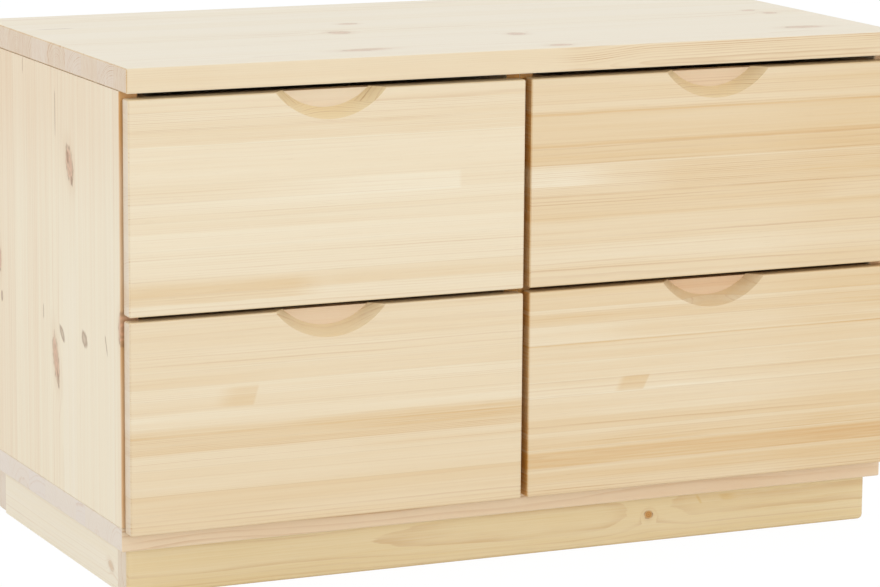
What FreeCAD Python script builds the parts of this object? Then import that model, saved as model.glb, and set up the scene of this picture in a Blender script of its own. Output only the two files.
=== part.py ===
"""A free-standing pine unit with four drawers in two columns, standing on a low plinth.

Millimetres. X runs along the width, the drawers open towards -Y, and Z is up.
The origin is on the floor, under the middle of the unit.
"""

import FreeCAD, Part
import Sketcher
import os
import re

doc = FreeCAD.newDocument("drawer_unit")
X_AXIS = FreeCAD.Vector(1, 0, 0)

# Driving dimensions
SIZES = {
    # the carcass
    "unit_width": 800,
    "carcass_depth": 390,
    "side_height": 402,
    "side_thickness": 18,
    "top_thickness": 23,
    "top_overhang": 20,
    "bottom_thickness": 23,
    "divider_thickness": 14,
    "divider_setback": 4,
    "divider_housing": 6,
    "panel_rounding": 2,
    "upright_rounding": 1.5,
    # the back panel and the rebates that it lies in
    "back_thickness": 4,
    "back_inset": 2,
    "back_lap": 9,
    "back_fit": 0.3,
    # the plinth
    "plinth_height": 46,
    "plinth_thickness": 23,
    "plinth_side_inset": 9,
    "plinth_front_inset": 13,
    "plinth_back_inset": 2,
    "plinth_corner": 5,
    "plinth_rounding": 3,
    "block_width": 38,
    "block_height": 40,
    "block_chamfer": 22,
    # the dowels between the sides and the top and bottom panels
    "dowel_radius": 3,
    "dowel_length": 30,
    "dowel_bite": 12,
    "dowel_margin": 60,
    "dowel_fit": 0.1,
    "dowel_end_gap": 0.5,
    # the drawer fronts and the gaps around them
    "front_thickness": 14,
    "front_standoff": 2,
    "front_inset": 3,
    "front_drop": 5,
    "front_rounding": 2,
    "centre_gap": 6,
    "row_gap": 4.5,
    "top_gap": 6,
    # the half-moon finger pulls: radii at the front and back faces, and the height of their centre
    "pull_mouth_radius": 70,
    "pull_throat_radius": 60.5,
    "pull_rise": 43,
    # the drawer boxes and their clearances in the carcass
    "box_wall": 12,
    "box_side_gap": 1.5,
    "box_back_gap": 26,
    "box_bottom_gap": 12.5,
    "box_top_drop": 1,
    "floor_thickness": 4,
    "floor_raise": 14,
    "floor_groove": 5,
    "floor_fit": 0.3,
    # the runners and the grooves that they run in
    "runner_setback": 20,
    "runner_back_gap": 19,
    "runner_height": 10,
    "runner_groove": 6,
    "runner_fit": 0.3,
    "runner_rounding": 3,
}

# Counts, and how far a cutting shape passes the face that it cuts
COMB_FINGERS = 13
CUT_OVERRUN = 1

# Places that several pieces share, as formulas of the driving dimensions
TOP_FRONT_Y = "(-(carcass_depth + top_overhang) / 2)"
CARCASS_FRONT_Y = "((top_overhang - carcass_depth) / 2)"
BACK_Y = "((carcass_depth + top_overhang) / 2)"
INSIDE_BACK_Y = f"({BACK_Y} - back_inset - back_thickness)"
DECK_Z = "(plinth_height + bottom_thickness)"
LID_Z = "(plinth_height + bottom_thickness + side_height)"
COLUMN_WIDTH = "(unit_width / 2 - side_thickness - divider_thickness)"
FRONT_BACK_Y = f"({CARCASS_FRONT_Y} - front_standoff)"
FRONT_WIDTH = "(unit_width / 2 - front_inset - centre_gap / 2)"
FRONT_HEIGHT = "((side_height + front_drop - top_gap - row_gap) / 2)"
BOX_WIDTH = f"({COLUMN_WIDTH} - 2 * box_side_gap)"
BOX_LENGTH = f"({INSIDE_BACK_Y} - box_back_gap - {FRONT_BACK_Y})"
BOX_HEIGHT = f"({FRONT_HEIGHT} - front_drop - box_bottom_gap - box_top_drop)"
FINGER_HEIGHT = f"({BOX_HEIGHT} / {COMB_FINGERS})"
RUNNER_FRONT_Y = f"({CARCASS_FRONT_Y} + runner_setback)"
RUNNER_LENGTH = f"({INSIDE_BACK_Y} - runner_back_gap - {RUNNER_FRONT_Y})"
RUNNER_THICKNESS = "(box_side_gap + runner_groove - runner_fit)"

COLUMNS = ("left", "right")
ROWS = ("lower", "upper")

nodes = []


def fill_sheet():
    """Put every driving dimension in the sheet under its own name."""
    sheet = doc.addObject("Spreadsheet::Sheet", "Sizes")
    for row, (name, value) in enumerate(SIZES.items(), start=1):
        sheet.set(f"A{row}", name)
        sheet.set(f"B{row}", str(value))
        sheet.setAlias(f"B{row}", name)
    doc.recompute()
    return sheet


sheet = fill_sheet()


def on_sheet(formula):
    """Write a formula of size names as an expression that reads the sheet."""
    return re.sub(r"[a-z_]+", lambda word: f"Sizes.{word.group()}", str(formula))


def bind(item, **formulas):
    """Tie the named properties of an item to formulas of the driving dimensions."""
    for name, formula in formulas.items():
        item.setExpression(name, on_sheet(formula))


def place(item, corner):
    """Tie an item's position to formulas of the driving dimensions."""
    for axis, formula in zip("xyz", corner):
        item.setExpression(f"Placement.Base.{axis}", on_sheet(formula))


def keep(item, name):
    """Make an item one of the unit's pieces, under the name of its file."""
    item.Label = name
    nodes.append(item)
    return item


def board(corner, extent):
    """A square-edged board from its low corner and its extent along X, Y and Z."""
    box = doc.addObject("Part::Box", "Board")
    bind(box, Length=extent[0], Width=extent[1], Height=extent[2])
    place(box, corner)
    return box


def peg(centre, radius, length):
    """An upright round peg from the centre of its lower end."""
    cylinder = doc.addObject("Part::Cylinder", "Peg")
    bind(cylinder, Radius=radius, Height=length)
    place(cylinder, centre)
    return cylinder


def group(items):
    """Several separate solids as one item."""
    compound = doc.addObject("Part::Compound", "Group")
    compound.Links = items
    return compound


def cut(base, *tools):
    """Cut each tool in turn from a piece."""
    for tool in tools:
        result = doc.addObject("Part::Cut", "Cut")
        result.Base = base
        result.Tool = tool
        base = result
    return base


def eased(kind, base, size, wanted):
    """Round (Part::Fillet) or chamfer (Part::Chamfer) the edges of a piece that pass a test."""
    doc.recompute()
    amount = float(sheet.get(size))
    result = doc.addObject(kind, "Eased")
    result.Base = base
    edges = enumerate(base.Shape.Edges, start=1)
    result.Edges = [(number, amount, amount) for number, edge in edges if wanted(edge, base.Shape.BoundBox)]
    return result


def runs_along(edge, axis):
    """Whether a straight edge runs along the axis X, Y or Z."""
    box = edge.BoundBox
    spans = {"X": box.XLength, "Y": box.YLength, "Z": box.ZLength}
    return spans[axis] > 0.99 * edge.Length


def any_edge(edge, bounds):
    """Every edge of a board."""
    return True


def level_edge(edge, bounds):
    """The edges round the upper and lower faces of a board."""
    return not runs_along(edge, "Z")


def front_upright_edge(edge, bounds):
    """The two upright edges at the front of a board."""
    return runs_along(edge, "Z") and edge.CenterOfMass.y < bounds.Center.y


def back_upright_edge(edge, bounds):
    """The two upright edges at the back of a board."""
    return runs_along(edge, "Z") and edge.CenterOfMass.y > bounds.Center.y


def lower_corner_edge(edge, bounds):
    """The two edges at the lower corners of a board that runs along X."""
    return runs_along(edge, "Y") and edge.CenterOfMass.z < bounds.Center.z


def mirrored_x(side, low, extent):
    """The low X of a board that starts at low on the right half, or of its mirror image on the left."""
    return low if side == "right" else f"(-({low}) - ({extent}))"


def build_dowels():
    """Dowels through both ends of the side panels, and the holes that they sit in."""
    dowels = []
    holes = []
    side_centre = "(unit_width / 2 - side_thickness / 2)"
    dowel_y = (f"({CARCASS_FRONT_Y} + dowel_margin)", f"({BACK_Y} - dowel_margin)")
    low_ends = (f"({DECK_Z} - dowel_bite)", f"({LID_Z} + dowel_bite - dowel_length)")
    for x in (f"-{side_centre}", side_centre):
        for y in dowel_y:
            for z in low_ends:
                dowels.append(peg((x, y, z), "dowel_radius", "dowel_length"))
                holes.append(peg((x, y, f"{z} - dowel_end_gap"), "dowel_radius + dowel_fit",
                                 "dowel_length + 2 * dowel_end_gap"))
    keep(group(dowels), "carcass_dowels")
    return group(holes)


def build_sides(dowel_holes):
    """The side panels, rebated for the back panel."""
    for side in COLUMNS:
        side_x = mirrored_x(side, "unit_width / 2 - side_thickness", "side_thickness")
        panel = board((side_x, CARCASS_FRONT_Y, DECK_Z), ("side_thickness", "carcass_depth", "side_height"))
        panel = eased("Part::Fillet", panel, "upright_rounding", front_upright_edge)
        rebate_width = f"(back_lap + {CUT_OVERRUN})"
        rebate_x = mirrored_x(side, f"unit_width / 2 - side_thickness - {CUT_OVERRUN}", rebate_width)
        rebate = board((rebate_x, INSIDE_BACK_Y, f"{DECK_Z} - {CUT_OVERRUN}"),
                       (rebate_width, f"back_thickness + back_inset + {CUT_OVERRUN}",
                        f"side_height + {2 * CUT_OVERRUN}"))
        keep(cut(panel, rebate, dowel_holes), f"{side}_side_panel")


def build_divider():
    """The two boards of the centre divider, back to back, whose ends are let into the panels."""
    blanks = []
    front_y = f"({CARCASS_FRONT_Y} + divider_setback)"
    for side in COLUMNS:
        corner = (mirrored_x(side, "0", "divider_thickness"), front_y, f"{DECK_Z} - divider_housing")
        blank = board(corner, ("divider_thickness", f"{INSIDE_BACK_Y} - {front_y}",
                               "side_height + 2 * divider_housing"))
        keep(eased("Part::Fillet", blank, "upright_rounding", front_upright_edge), f"divider_{side}_board")
        blanks.append(blank)
    return group(blanks)


def build_panels(dowel_holes, divider_blanks):
    """The top panel, which overhangs the front, and the bottom panel under the uprights."""
    top = board(("-unit_width / 2", TOP_FRONT_Y, LID_Z),
                ("unit_width", "carcass_depth + top_overhang", "top_thickness"))
    bottom = board(("-unit_width / 2", CARCASS_FRONT_Y, "plinth_height"),
                   ("unit_width", "carcass_depth", "bottom_thickness"))
    for name, blank, edges in (("top_panel", top, any_edge), ("bottom_panel", bottom, level_edge)):
        rounded = eased("Part::Fillet", blank, "panel_rounding", edges)
        keep(cut(rounded, dowel_holes, divider_blanks), name)


def build_back_panel():
    """The thin back panel, which lies a little sunk in the rebates of the side panels."""
    half_width = "(unit_width / 2 - side_thickness + back_lap - back_fit)"
    keep(board((f"-{half_width}", INSIDE_BACK_Y, DECK_Z),
               (f"2 * {half_width}", "back_thickness", "side_height")), "back_panel")


def build_plinth():
    """Front and back boards over the ends of the side boards, with a block in each corner."""
    outer_x = "(unit_width / 2 - plinth_side_inset)"
    inner_x = f"({outer_x} - plinth_thickness)"
    front_y = f"({CARCASS_FRONT_Y} + plinth_front_inset)"
    back_y = f"({BACK_Y} - plinth_back_inset - plinth_thickness)"
    inner_front_y = f"({front_y} + plinth_thickness)"

    # the rounding of the upright edges runs on round the lower corners and along the lower edge
    long_extent = (f"2 * {outer_x}", "plinth_thickness", "plinth_height")
    long_boards = (("front", front_y, front_upright_edge), ("back", back_y, back_upright_edge))
    for name, board_y, outer_edge in long_boards:
        blank = board((f"-{outer_x}", board_y, "0"), long_extent)
        cornered = eased("Part::Fillet", blank, "plinth_corner", lower_corner_edge)
        keep(eased("Part::Fillet", cornered, "plinth_rounding", outer_edge), f"plinth_{name}_board")

    blocks = []
    short_extent = ("plinth_thickness", f"{back_y} - {inner_front_y}", "plinth_height")
    for side in COLUMNS:
        board_x = mirrored_x(side, inner_x, "plinth_thickness")
        keep(board((board_x, inner_front_y, "0"), short_extent), f"plinth_{side}_board")
        block_x = mirrored_x(side, f"{inner_x} - block_width", "block_width")
        for block_y, free_corner in ((inner_front_y, back_upright_edge),
                                     (f"({back_y} - block_width)", front_upright_edge)):
            block = board((block_x, block_y, "plinth_height - block_height"),
                          ("block_width", "block_width", "block_height"))
            towards_middle = 1 if side == "left" else -1

            def free_edge(edge, bounds, corner=free_corner, sign=towards_middle):
                return corner(edge, bounds) and sign * (edge.CenterOfMass.x - bounds.Center.x) > 0

            blocks.append(eased("Part::Chamfer", block, "block_chamfer", free_edge))
    keep(group(blocks), "plinth_corner_blocks")


def front_low_z(row):
    """The lower edge of a drawer front."""
    lower = f"({DECK_Z} - front_drop)"
    return lower if row == "lower" else f"({lower} + {FRONT_HEIGHT} + row_gap)"


def box_low_z(row):
    """The lower edge of a drawer box, which hangs just under the top edge of its front."""
    return f"({front_low_z(row)} + {FRONT_HEIGHT} - box_top_drop - {BOX_HEIGHT})"


def runner_low_z(row):
    """The lower face of the runners of a drawer, at half the height of its box."""
    return f"({box_low_z(row)} + {BOX_HEIGHT} / 2 - runner_height / 2)"


def build_runners():
    """A wooden runner on each side of each drawer, with its leading corner rounded."""
    for column in COLUMNS:
        outer_low_x = f"(unit_width / 2 - side_thickness - {RUNNER_THICKNESS})"
        for upright, low_x in (("side", outer_low_x), ("divider", "divider_thickness")):
            for row in ROWS:
                runner_x = mirrored_x(column, low_x, RUNNER_THICKNESS)
                strip = board((runner_x, RUNNER_FRONT_Y, runner_low_z(row)),
                              (RUNNER_THICKNESS, RUNNER_LENGTH, "runner_height"))
                leads_right = (column == "left") == (upright == "side")
                free_sign = 1 if leads_right else -1

                def leading_edge(edge, bounds, sign=free_sign):
                    free = sign * (edge.CenterOfMass.x - bounds.Center.x) > 0
                    return front_upright_edge(edge, bounds) and free

                keep(eased("Part::Fillet", strip, "runner_rounding", leading_edge),
                     f"{row}_{column}_{upright}_runner")


def origin_plane(body, role):
    """One of the three planes through a body's own origin."""
    return next(plane for plane in body.Origin.OriginFeatures if plane.Role == role)


def sketch_rectangle(body, width, height):
    """A sketch on the body's XZ plane with a rectangle that starts at its origin."""
    sketch = body.newObject("Sketcher::SketchObject", "Outline")
    sketch.AttachmentSupport = [(origin_plane(body, "XZ_Plane"), "")]
    sketch.MapMode = "FlatFace"
    corners = [FreeCAD.Vector(x, z) for x, z in ((0, 0), (1, 0), (1, 1), (0, 1))]
    for start, end in zip(corners, corners[1:] + corners[:1]):
        sketch.addGeometry(Part.LineSegment(start, end))
    for line in range(4):
        sketch.addConstraint(Sketcher.Constraint("Coincident", line, 2, (line + 1) % 4, 1))
        sketch.addConstraint(Sketcher.Constraint("Horizontal" if line % 2 == 0 else "Vertical", line))
    sketch.addConstraint(Sketcher.Constraint("Coincident", 0, 1, -1, 1))
    for kind, line, name, formula in (("DistanceX", 0, "width", width), ("DistanceY", 1, "height", height)):
        number = sketch.addConstraint(Sketcher.Constraint(kind, line, 1, line, 2, 1))
        sketch.renameConstraint(number, name)
        sketch.setExpression(f"Constraints.{name}", on_sheet(formula))
    return sketch


def build_front(name, column, row):
    """A drawer front: a board with rounded edges and a bevelled half-moon pull in its top edge."""
    body = doc.addObject("PartDesign::Body", "Front")
    pad = body.newObject("PartDesign::Pad", "Thickness")
    pad.Profile = sketch_rectangle(body, FRONT_WIDTH, FRONT_HEIGHT)
    bind(pad, Length="front_thickness")
    doc.recompute()

    show_face_y = pad.Shape.BoundBox.YMin
    rounded = body.newObject("PartDesign::Fillet", "Rounding")
    outline = [f"Edge{number}" for number, edge in enumerate(pad.Shape.Edges, start=1)
               if runs_along(edge, "Y") or abs(edge.CenterOfMass.y - show_face_y) < 0.01]
    rounded.Base = (pad, outline)
    bind(rounded, Radius="front_rounding")
    doc.recompute()

    flare = f"((pull_mouth_radius - pull_throat_radius) * {CUT_OVERRUN} / front_thickness)"
    pull = body.newObject("PartDesign::SubtractiveCone", "Pull")
    pull.Placement = FreeCAD.Placement(FreeCAD.Vector(), FreeCAD.Rotation(X_AXIS, -90))
    bind(pull, Radius1=f"pull_mouth_radius + {flare}", Radius2=f"pull_throat_radius - {flare}",
         Height=f"front_thickness + {2 * CUT_OVERRUN}")
    place(pull, (f"{FRONT_WIDTH} / 2", f"-front_thickness - {CUT_OVERRUN}", f"{FRONT_HEIGHT} + pull_rise"))

    front_x = mirrored_x(column, "centre_gap / 2", FRONT_WIDTH)
    place(body, (front_x, FRONT_BACK_Y, front_low_z(row)))
    keep(body, f"{name}_front")


def build_box(name, column, row):
    """A drawer box with comb-jointed corners, its floor in grooves and a runner groove in each side."""
    box_x = mirrored_x(column, "divider_thickness + box_side_gap", BOX_WIDTH)
    box_y = FRONT_BACK_Y
    box_z = box_low_z(row)
    side_blank = ("box_wall", BOX_LENGTH, BOX_HEIGHT)
    side_x = {"left": box_x, "right": f"({box_x} + {BOX_WIDTH} - box_wall)"}
    end_y = {"front": box_y, "back": f"({box_y} + {BOX_LENGTH} - box_wall)"}

    # the gaps of the comb at both ends of the sides, one finger high and one finger apart
    gaps = []
    for y in end_y.values():
        for finger in range(1, COMB_FINGERS, 2):
            gaps.append(board((box_x, y, f"{box_z} + {finger} * {FINGER_HEIGHT}"),
                              (BOX_WIDTH, "box_wall", FINGER_HEIGHT)))
    comb = group(gaps)

    # the groove all round for the floor, as large as the floor with its clearance
    groove_x = f"({box_x} + box_wall - floor_groove)"
    groove_y = f"({box_y} + box_wall - floor_groove)"
    groove_width = f"({BOX_WIDTH} - 2 * box_wall + 2 * floor_groove)"
    groove_length = f"({BOX_LENGTH} - 2 * box_wall + 2 * floor_groove)"
    floor_z = f"({box_z} + floor_raise)"
    floor_groove = board((groove_x, groove_y, floor_z),
                         (groove_width, groove_length, "floor_thickness + floor_fit"))

    # the runner grooves, open at the back and stopped behind the box front
    runner_groove_y = f"({RUNNER_FRONT_Y} - runner_fit)"
    runner_groove_x = {"left": f"{box_x} - {CUT_OVERRUN}", "right": f"{box_x} + {BOX_WIDTH} - runner_groove"}

    combed = {}
    for side in COLUMNS:
        combed[side] = cut(board((side_x[side], box_y, box_z), side_blank), comb)
        groove_corner = (runner_groove_x[side], runner_groove_y, f"{runner_low_z(row)} - runner_fit")
        groove_extent = (f"runner_groove + {CUT_OVERRUN}", BOX_LENGTH, "runner_height + 2 * runner_fit")
        runner_groove = board(groove_corner, groove_extent)
        keep(cut(combed[side], runner_groove, floor_groove), f"{name}_box_{side}_side")

    for end, y in end_y.items():
        blank = board((box_x, y, box_z), (BOX_WIDTH, "box_wall", BOX_HEIGHT))
        keep(cut(blank, combed["left"], combed["right"], floor_groove), f"{name}_box_{end}")

    keep(board((f"{groove_x} + floor_fit", f"{groove_y} + floor_fit", floor_z),
               (f"{groove_width} - 2 * floor_fit", f"{groove_length} - 2 * floor_fit", "floor_thickness")),
         f"{name}_box_floor")


def check_pieces():
    """Stop if any item of the document failed, or a piece isn't made of sound solids."""
    doc.recompute()
    failed = [item.Label for item in doc.Objects if {"Invalid", "Error"} & set(item.State)]
    if failed:
        raise RuntimeError(f"failed to build: {failed}")
    for piece in nodes:
        shape = piece.Shape
        if shape.isNull() or not shape.isValid() or not shape.Solids:
            raise RuntimeError(f"not a sound solid: {piece.Label}")


def write_pieces():
    """Write each piece to its own file, and list its size."""
    os.makedirs("parts", exist_ok=True)
    for piece in nodes:
        piece.Shape.exportStep(f"parts/{piece.Label}.step")
        box = piece.Shape.optimalBoundingBox()
        print(f"{piece.Label}: {len(piece.Shape.Solids)} solid(s), "
              f"{box.XLength:.1f} x {box.YLength:.1f} x {box.ZLength:.1f}")


dowel_holes = build_dowels()
build_sides(dowel_holes)
build_panels(dowel_holes, build_divider())
build_back_panel()
build_plinth()
build_runners()
for drawer_row in ROWS:
    for drawer_column in COLUMNS:
        drawer = f"{drawer_row}_{drawer_column}"
        build_front(drawer, drawer_column, drawer_row)
        build_box(drawer, drawer_column, drawer_row)
check_pieces()
write_pieces()
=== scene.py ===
"""Looks of a low pine drawer unit: its woods, its small fasteners and a plain pale studio.

Metres, in the unit's own frame: X along the width, the drawers open towards -Y, Z is up.
The figure of the wood is worked out in millimetres.
"""

import math
import random
from dataclasses import dataclass
from typing import NamedTuple

import bmesh
import bpy
from mathutils import Matrix, Vector


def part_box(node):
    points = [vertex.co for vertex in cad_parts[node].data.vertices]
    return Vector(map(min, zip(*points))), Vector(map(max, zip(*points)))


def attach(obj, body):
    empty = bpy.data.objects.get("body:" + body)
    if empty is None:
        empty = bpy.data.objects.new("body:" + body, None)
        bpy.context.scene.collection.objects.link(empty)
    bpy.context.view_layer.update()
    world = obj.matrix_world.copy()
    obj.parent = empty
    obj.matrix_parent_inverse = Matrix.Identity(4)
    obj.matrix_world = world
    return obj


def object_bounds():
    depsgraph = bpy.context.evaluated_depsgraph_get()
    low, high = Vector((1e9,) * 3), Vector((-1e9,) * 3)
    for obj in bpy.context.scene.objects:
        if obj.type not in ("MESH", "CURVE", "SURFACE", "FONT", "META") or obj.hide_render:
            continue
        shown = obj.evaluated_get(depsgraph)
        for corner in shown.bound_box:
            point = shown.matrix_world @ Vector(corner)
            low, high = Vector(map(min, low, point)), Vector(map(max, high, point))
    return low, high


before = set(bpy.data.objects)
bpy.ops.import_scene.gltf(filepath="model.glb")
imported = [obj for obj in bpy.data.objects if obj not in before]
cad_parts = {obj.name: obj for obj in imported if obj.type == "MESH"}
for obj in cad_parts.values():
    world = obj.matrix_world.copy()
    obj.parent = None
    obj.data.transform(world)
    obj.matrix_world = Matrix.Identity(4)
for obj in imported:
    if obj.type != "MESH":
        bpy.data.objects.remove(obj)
CAD_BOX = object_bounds()

bl_info = {
    "name": "Pine drawer unit",
    "version": (1, 0, 0),
    "blender": (4, 5, 0),
    "location": "3D View > Sidebar > Drawer Unit",
    "description": "Dresses the drawer unit in pine, adds its fasteners and lights it",
    "category": "Object",
}

MM = 0.001
COLUMNS = ("left", "right")
ROWS = ("lower", "upper")
DRAWERS = [f"{row}_{column}" for row in ROWS for column in COLUMNS]

# Places in millimetres that the figure of the wood is set out from
LEFT_END, RIGHT_END = (corner.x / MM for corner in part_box("top_panel"))
TOP_FRONT, TOP_BACK = (corner.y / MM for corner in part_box("top_panel"))
CARCASS_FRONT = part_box("left_side_panel")[0].y / MM
RIGHT_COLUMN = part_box("upper_right_front")[0].x / MM
LEFT_HALF = (LEFT_END, 0)
RIGHT_HALF = (0, RIGHT_END)

# Axes of a board: along the grain, over the width and through the thickness
LYING = ("x", "y", "z")
UPRIGHT = ("z", "y", "x")
UPRIGHT_SHEET = ("z", "x", "y")
FACING_FRONT = ("x", "z", "y")
FACING_SIDE = ("y", "z", "x")

# Sockets of a Mix node for colours, which share their names with those for numbers
MIX_FACTOR, MIX_FIRST, MIX_SECOND = 0, 6, 7
MIX_RESULT = 2

# Heads of the fasteners: sides of the round, and steps of the dome as shares of its radius and its rise
SCREW_SIDES = 32
SCREW_DOME = ((0.1, 0.4), (0.2, 0.35), (0.2, 0.2), (0.2, 0.05))
RECESS_TAPER = 0.6
PIN_SIDES = 20
PIN_DOME = ((0.18, 0.7), (0.25, 0.3))
SMOOTH_ANGLE = math.radians(35)
SELECT_MARGIN = 0.01 * MM

# The floor lies a little under the plinth, so that no two faces share one plane. Its white is just over 1.
FLOOR_WIDTH = 30
FLOOR_DROP = 0.2 * MM
WHITE = (1, 1, 1, 1)
CLEAN_WHITE = 1.03

# Width of the camera's frame in millimetres
FILM_WIDTH = 36


def shade(red, green, blue):
    """A colour given in 8-bit display values, as the linear values that a shader uses."""
    def linear(value):
        share = value / 255
        return share / 12.92 if share <= 0.04045 else ((share + 0.055) / 1.055) ** 2.4
    return tuple(linear(value) for value in (red, green, blue))


def setting(name, description, default, **kind):
    """A number that a user can change."""
    return bpy.props.FloatProperty(name=name, description=description, default=default, **kind)


def length(name, description, metres):
    """A length that a user can change."""
    return setting(name, description, metres, subtype="DISTANCE", unit="LENGTH", precision=4)


def angle(name, description, degrees):
    """An angle that a user can change."""
    return setting(name, description, math.radians(degrees), subtype="ANGLE", unit="ROTATION")


def power(name, description, watts):
    """The power of a lamp that a user can change."""
    return setting(name, description, watts, subtype="POWER", unit="POWER")


def triple(name, description, default, **kind):
    """Three numbers that a user can change."""
    return bpy.props.FloatVectorProperty(name=name, description=description, default=default, **kind)


def colour(name, description, default):
    """A colour that a user can change."""
    return triple(name, description, default, subtype="COLOR", min=0, max=1)


def spot(name, description, metres):
    """A point that a user can change."""
    return triple(name, description, metres, subtype="TRANSLATION", unit="LENGTH")


class WoodColours(bpy.types.PropertyGroup):
    """Colours of the woods and of the fasteners."""
    # Partly painted light: the palest wood also stands for the grazing sheen on the top panel and lifts the
    # plinth's left board out of its shade
    pale_wood_and_sheen: colour("Bleached wood", "Palest wood, as on the top panel", shade(246, 240, 227))
    sapwood: colour("Sapwood", "Pale early wood of the pine", shade(241, 229, 203))
    heartwood: colour("Heartwood", "Warm early wood of the pine", shade(226, 198, 153))
    straw: colour("Straw", "Yellow heartwood of the plinth", shade(226, 200, 145))
    rose: colour("Rose", "Pink heartwood of the bottom panel and the boxes", shade(228, 196, 158))
    latewood: colour("Late wood", "The dark line at the end of each ring", shade(196, 150, 98))
    pitch: colour("Pitch", "Streaks and the rims of knots", shade(139, 97, 62))
    knot: colour("Knot", "The middle of a knot", shade(214, 160, 128))
    # Painted shade: the deep warm tone given to edges in narrow gaps; the plinth's knots also take it as
    # their own colour
    amber: colour("Amber", "Deep tone of edges that stay in the shade", shade(206, 146, 62))
    # Painted light: the paler colour that brightens the bevels of the pulls
    painted_bevel_light: colour("Fresh cut", "Bright wood of a bevel", shade(251, 230, 184))
    cut_grain: colour("Cut grain", "What a slanting cut keeps of the wood's colour", (0.92, 0.90, 0.89))
    end_grain: colour("End grain", "Pale, slightly pink wood of a square cut", shade(229, 218, 208))
    ply_face: colour("Plywood face", "Face veneer of the thin panels", shade(232, 214, 180))
    ply_core: colour("Plywood core", "Cross ply in the edges of the thin panels", shade(190, 156, 112))
    beech: colour("Beech", "Runners and dowels", shade(214, 182, 142))
    beech_fleck: colour("Beech fleck", "Small rays in the beech", shade(168, 124, 84))
    steel: colour("Zinc plate", "Screws and pins", shade(176, 174, 168))
    steel_bloom: colour("Zinc bloom", "Paler blooms on the screws and pins", shade(206, 204, 194))


class WoodFigure(bpy.types.PropertyGroup):
    """Sizes of the figure in the wood."""
    panel_strip: length("Panel strip", "Mean width of the glued strips of the carcass panels", 45 * MM)
    ring: length("Ring", "Mean width of a year's growth", 2.4 * MM)
    knot_swell: length("Knot swell", "How far the rings bend round a knot", 5 * MM)


class FastenerSizes(bpy.types.PropertyGroup):
    """Sizes and places of the screws and pins."""
    head_radius: length("Screw head radius", "Raised head of the wood screws", 3.8 * MM)
    head_rim: length("Screw head rim", "Height of the rim of a screw head", 0.5 * MM)
    head_rise: length("Screw head rise", "Height of the dome over the rim", 0.9 * MM)
    recess_width: length("Recess width", "Width of the arms of the cross recess", 0.9 * MM)
    recess_span: length("Recess span", "Length of the arms of the cross recess", 4.0 * MM)
    recess_depth: length("Recess depth", "Depth of the cross recess", 0.8 * MM)
    screw_margin: length("Screw margin", "From the edges of a box front to its screws", 45 * MM)
    block_margin: length("Block margin", "From the faces of the corner blocks to their screws", 14 * MM)
    pin_radius: length("Pin head radius", "Flat head of the back panel's pins", 2.0 * MM)
    pin_height: length("Pin head height", "How far a pin's head stands proud", 0.7 * MM)
    pin_margin: length("Pin margin", "From the edges of the back panel to its pins", 5 * MM)
    pin_spacing: length("Pin spacing", "Mean distance from pin to pin", 95 * MM)


class StudioSettings(bpy.types.PropertyGroup):
    """Camera and light."""
    lens: setting("Lens", "Focal length on a 36 mm frame", 160.28, subtype="DISTANCE_CAMERA", unit="CAMERA")
    yaw: angle("Yaw", "How far the camera looks to the right of straight on", 24.55)
    pitch: angle("Pitch", "How far the camera looks down", 10.60)
    roll: angle("Roll", "How far the camera is turned anticlockwise", 0.453)
    aim: spot("Aim", "Point in the middle of the picture", (-0.0897, -0.2010, 0.2682))
    distance: length("Distance", "From the camera to the aim", 3.6534)
    sky: setting("Sky", "Light from all round", 0.86)
    key: power("Key", "Large soft lamp in front", 58.0)
    key_place: spot("Key place", "Middle of the key lamp", (0.8, -5.2, 1.1))
    key_size: length("Key size", "Width of the key lamp", 3.2)
    fill: power("Fill", "Soft lamp beside the left side", 13.0)
    fill_place: spot("Fill place", "Middle of the fill lamp", (-3.4, 0.5, 1.2))
    fill_size: length("Fill size", "Width of the fill lamp", 2.4)
    floor: colour("Floor", "Plain pale floor", (0.86, 0.86, 0.86))
    floor_glow: setting("Floor glow", "Share of plain white in what the camera sees of the floor", 0.93)


class Reading:
    """One output of a node. Arithmetic on readings of numbers adds Math nodes."""

    def __init__(self, finish, socket):
        self.finish = finish
        self.socket = socket

    def output(self, name):
        """Another output of the same node."""
        return Reading(self.finish, self.socket.node.outputs[name])

    def __add__(self, other):
        return self.finish.math("ADD", self, other)

    def __radd__(self, other):
        return self.finish.math("ADD", other, self)

    def __sub__(self, other):
        return self.finish.math("SUBTRACT", self, other)

    def __rsub__(self, other):
        return self.finish.math("SUBTRACT", other, self)

    def __mul__(self, other):
        return self.finish.math("MULTIPLY", self, other)

    def __rmul__(self, other):
        return self.finish.math("MULTIPLY", other, self)

    def __truediv__(self, other):
        return self.finish.math("DIVIDE", self, other)

    def __pow__(self, exponent):
        return self.finish.math("POWER", self, exponent)

    def __abs__(self):
        return self.finish.math("ABSOLUTE", self)

    def rise(self, start, end):
        """A smooth step from 0 at the start to 1 at the end. The start may be the larger of the two."""
        return self.finish.node("ShaderNodeMapRange", {"interpolation_type": "SMOOTHSTEP"},
                                {"Value": self, "From Min": start, "From Max": end})


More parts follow.
